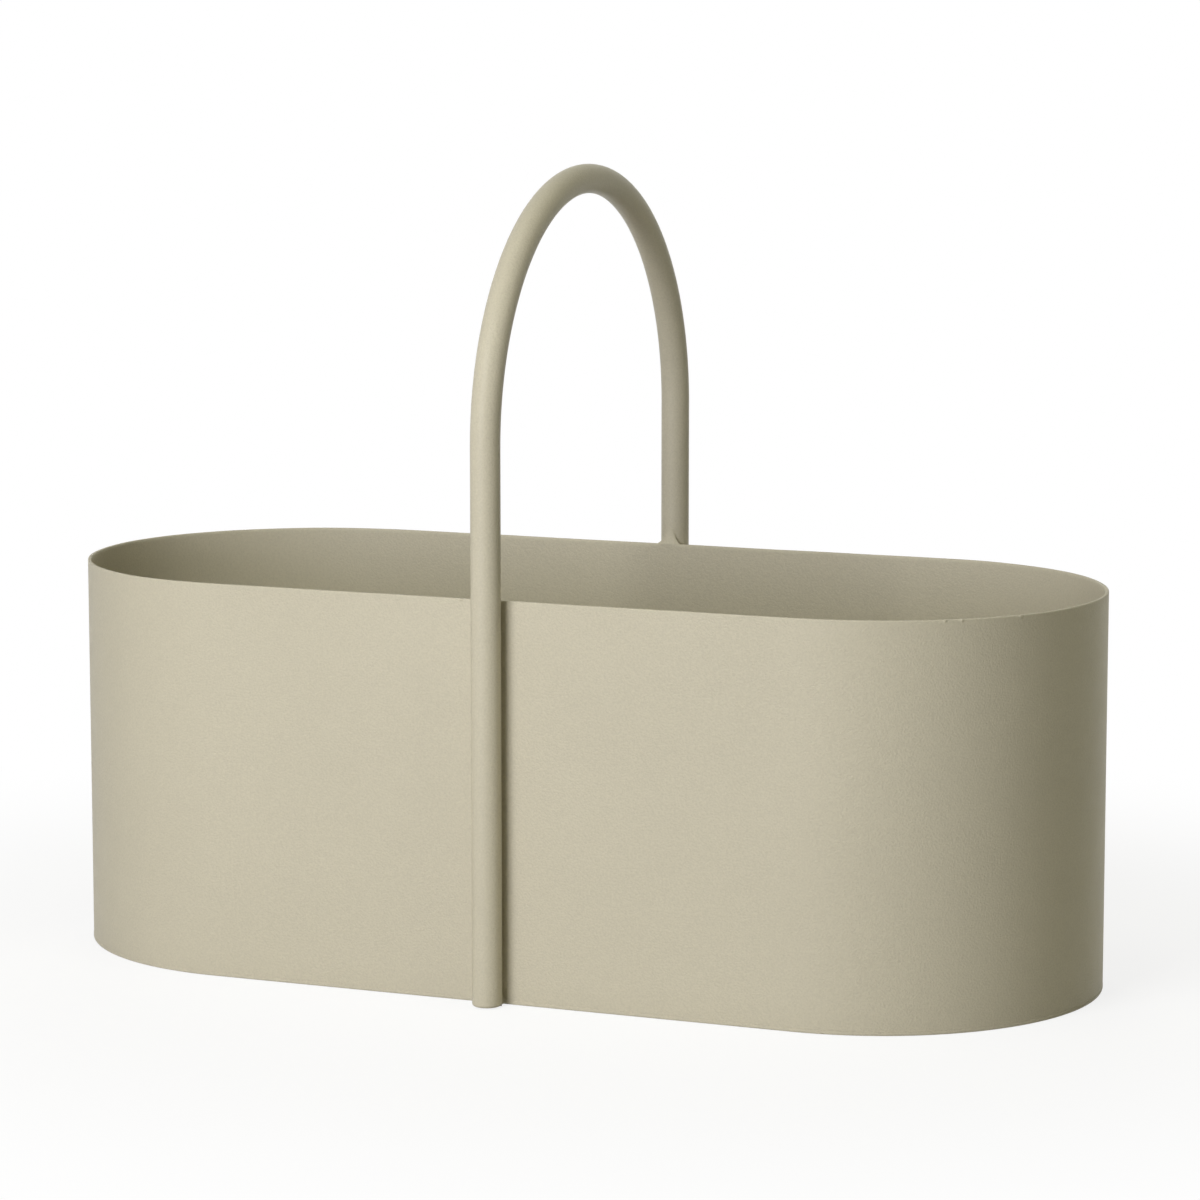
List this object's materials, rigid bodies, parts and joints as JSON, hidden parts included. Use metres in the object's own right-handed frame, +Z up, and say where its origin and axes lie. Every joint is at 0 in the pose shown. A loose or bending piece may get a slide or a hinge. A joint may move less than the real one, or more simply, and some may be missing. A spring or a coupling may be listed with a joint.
{
  "type": "metal storage box",
  "caption": "Open-top storage box of painted sheet steel with straight walls, rounded ends and a fixed round-tube arch handle welded across its middle.",
  "frame": {"origin": "middle of the base plate's underside, where the box stands", "axes": "+X along the box's length, +Y across it towards the rear wall, +Z up"},
  "size_m": [0.35, 0.1694, 0.262],
  "materials": {
    "powder_coat": "matte"
  },
  "bodies": {
    "root": {"wall_band": "powder_coat", "wall_seam_weld": "powder_coat", "base_plate": "powder_coat", "base_weld": "powder_coat", "handle_tube": "powder_coat", "front_tube_plug": "powder_coat", "rear_tube_plug": "powder_coat", "front_rim_weld": "powder_coat", "rear_rim_weld": "powder_coat", "front_foot_weld_left": "powder_coat", "front_foot_weld_right": "powder_coat", "rear_foot_weld_left": "powder_coat", "rear_foot_weld_right": "powder_coat"}
  },
  "joints": []
}
